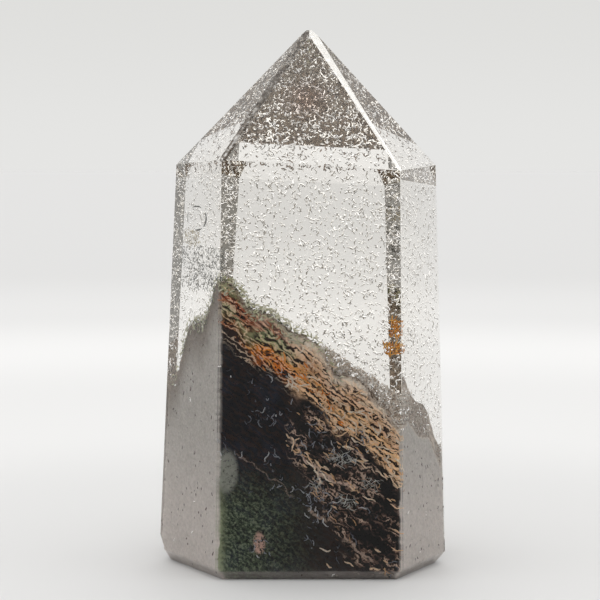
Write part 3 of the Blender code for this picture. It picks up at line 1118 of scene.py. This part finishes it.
# The kinds of filament. A bend is the most that a filament turns at each ring, in radians.
draws = random.Random(SPECK_SEED + 5)
sprig_kinds = kinds_of_worm(
    "sprig_kind", draws, count=5, length=1.3 * MM, thick=0.13 * MM, bends=0.75, rings=7, sides=5
)
strand_kinds = kinds_of_worm(
    "strand_kind", draws, count=6, length=2.6 * MM, thick=0.18 * MM, bends=0.52, rings=9, sides=5
)
squiggle_kinds = kinds_of_worm(
    "squiggle_kind", draws, count=5, length=1.8 * MM, thick=0.10 * MM, bends=0.75, rings=9, sides=5
)
fibre_kinds = kinds_of_worm(
    "fibre_kind", draws, count=5, length=1.5 * MM, thick=0.06 * MM, bends=0.40, rings=7, sides=4
)
pit_kinds = kinds_of_worm(
    "pit_kind", draws, count=4, length=0.55 * MM, thick=0.15 * MM, bends=0.35, rings=5, sides=6
)

# What grows where. The density is for a square metre, the lift is the most that a filament stands off the
# ground, and the turns are the most that it turns from its aim about each axis.
grow_worms(
    "moss_sprigs", "moss_line", sprig_kinds, moss_paint,
    density=5.5e6, seed=3, aim=UP, turn=(1.3, 1.3, 3.1), lift=1.1 * MM, sizes=(0.5, 1.1),
)
grow_worms(
    "red_strands", "red_band", strand_kinds, red_paint,
    density=1.3e6, seed=8, aim=ALONG_LAYERS, turn=(3.1, 0.30, 0.25), lift=0.15 * MM, sizes=(0.4, 0.9),
)
grow_worms(
    "rust_strands", "rust_band", strand_kinds, rust_paint,
    density=1.9e6, seed=4, aim=ALONG_LAYERS, turn=(3.1, 0.28, 0.25), lift=0.25 * MM, sizes=(0.4, 1.0),
)
grow_worms(
    "tan_strands", "tan_band", strand_kinds, tan_paint,
    density=1.3e6, seed=5, aim=ALONG_LAYERS, turn=(3.1, 0.28, 0.25), lift=0.22 * MM, sizes=(0.4, 1.0),
)
grow_worms(
    "clay_squiggles", "clay_area", squiggle_kinds, clay_paint,
    density=1.6e6, seed=6, aim=ALONG_LAYERS, turn=(3.1, 0.9, 0.3), lift=0.08 * MM, sizes=(0.5, 1.1),
)
grow_worms(
    "grey_tufts", "tuft_area", fibre_kinds, fibre_paint,
    density=12.0e6, seed=7, aim=UP, turn=(1.2, 1.2, 3.1), lift=0.35 * MM, sizes=(0.5, 1.1),
)
grow_worms(
    "flank_pits", "pit_area", pit_kinds, pit_paint,
    density=0.075e6, seed=9, aim=UP, turn=(3.1, 0.3, 0.3), lift=0.12 * MM, sizes=(0.6, 1.3),
)


# What hangs in the clear quartz: brown flecks over the garden's lower slope, an orange wisp of iron by the
# front right edge, a smoky veil with a yellow stain and a healed ring crack under the left face, and a brown
# cloud in the point. All were shut in as the crystal grew.
VEIL_BOX = (Vector((2.0, -14.6, 22.0)) * MM, Vector((15.5, -8.0, 37.0)) * MM)
VEIL_SLANT = (0.545, 0.0, 0.838)
VEIL_LIMIT = 32.9 * MM
TUFT_BOX = (Vector((13.9, -14.4, 38.6)) * MM, Vector((15.4, -13.6, 41.6)) * MM)
WING_BOX = (Vector((12.9, -14.4, 35.9)) * MM, Vector((16.0, -13.6, 37.6)) * MM)
INTO_LEFT_FACE = (0.871, 0.491, 0.0)
NEAR_LEFT_FACE = -16.2 * MM
SMOKE_BOX = (Vector((-21.0, -15.0, 45.5)) * MM, Vector((-12.2, -1.0, 52.5)) * MM)
STAIN_BOX = (Vector((-18.2, -10.0, 52.4)) * MM, Vector((-15.8, -1.0, 55.0)) * MM)
CRACK_CENTRE = Vector((-16.4, -6.7, 57.0)) * MM
CRACK_WIDE = Vector((0.491, -0.871, 0.0)) * 3.3 * MM
CRACK_HIGH = Vector((0.0, 0.0, 1.9)) * MM
# The strokes of the ring that still show: from and to, in degrees round it, and half the thickness.
CRACK_STROKES = ((62, 118, 0.15), (-42, 28, 0.24), (-98, -58, 0.15), (150, 205, 0.08))
CRACK_STEPS = 9
CRACK_SIDES = 6
APEX_BOX = (Vector((-8.0, -6.0, 72.0)) * MM, Vector((9.0, 6.0, 86.0)) * MM)

wisp_kinds = kinds_of_worm(
    "wisp_kind", draws, count=4, length=2.4 * MM, thick=0.17 * MM, bends=0.6, rings=8, sides=5
)
veil_paint = filament_finish("veil_brown", (
    (0.0, (0.46, 0.35, 0.26)), (0.4, (0.86, 0.74, 0.63)), (1.0, (1.00, 0.96, 0.90)),
), 0.7)
wisp_paint = filament_finish("wisp_orange", (
    (0.0, (0.50, 0.17, 0.02)), (0.6, (0.95, 0.40, 0.05)), (1.0, (1.0, 0.60, 0.18)),
), 0.6)
smoke_paint = filament_finish("smoke_grey", (
    (0.0, (0.22, 0.22, 0.21)), (0.5, (0.36, 0.36, 0.34)), (1.0, (0.55, 0.55, 0.53)),
), 0.7)
stain_paint = filament_finish("stain_yellow", (
    (0.0, (0.70, 0.58, 0.36)), (1.0, (0.92, 0.86, 0.70)),
), 0.7)
cloud_paint = filament_finish("apex_cloud", (
    (0.0, (0.20, 0.16, 0.12)), (0.5, (0.42, 0.35, 0.29)), (1.0, (0.60, 0.55, 0.46)),
), 0.7)
float_worms(
    "brown_veil", speck_kinds, veil_paint, "garden_mineral", VEIL_BOX,
    count=4800, seed=21, slant=VEIL_SLANT, limit=VEIL_LIMIT,
)
float_worms(
    "orange_tuft", wisp_kinds, wisp_paint, "garden_mineral", TUFT_BOX, count=34, seed=22, sizes=(0.4, 0.8)
)
float_worms(
    "orange_wing", wisp_kinds, wisp_paint, "garden_mineral", WING_BOX, count=44, seed=26, sizes=(0.4, 0.8)
)
float_worms(
    "smoky_veil", speck_kinds, smoke_paint, "clear_quartz", SMOKE_BOX,
    count=2400, seed=23, sizes=(0.4, 1.0), slant=INTO_LEFT_FACE, limit=NEAR_LEFT_FACE,
)
float_worms(
    "yellow_stain", speck_kinds, stain_paint, "clear_quartz", STAIN_BOX,
    count=420, seed=25, sizes=(0.3, 0.8), slant=INTO_LEFT_FACE, limit=NEAR_LEFT_FACE,
)
float_worms(
    "apex_cloud", speck_kinds, cloud_paint, "clear_quartz", APEX_BOX, count=2600, seed=24, sizes=(0.4, 0.9)
)

crack = bmesh.new()
for start, end, thick in CRACK_STROKES:
    turns = [math.radians(start + (end - start) * step / CRACK_STEPS) for step in range(CRACK_STEPS + 1)]
    stroke = [CRACK_CENTRE + CRACK_WIDE * math.cos(turn) + CRACK_HIGH * math.sin(turn) for turn in turns]
    add_tube(crack, stroke, thick * MM, CRACK_SIDES, draws)
set_in_stone("healed_crack", smooth_mesh("healed_crack", crack), smoke_paint, "clear_quartz")
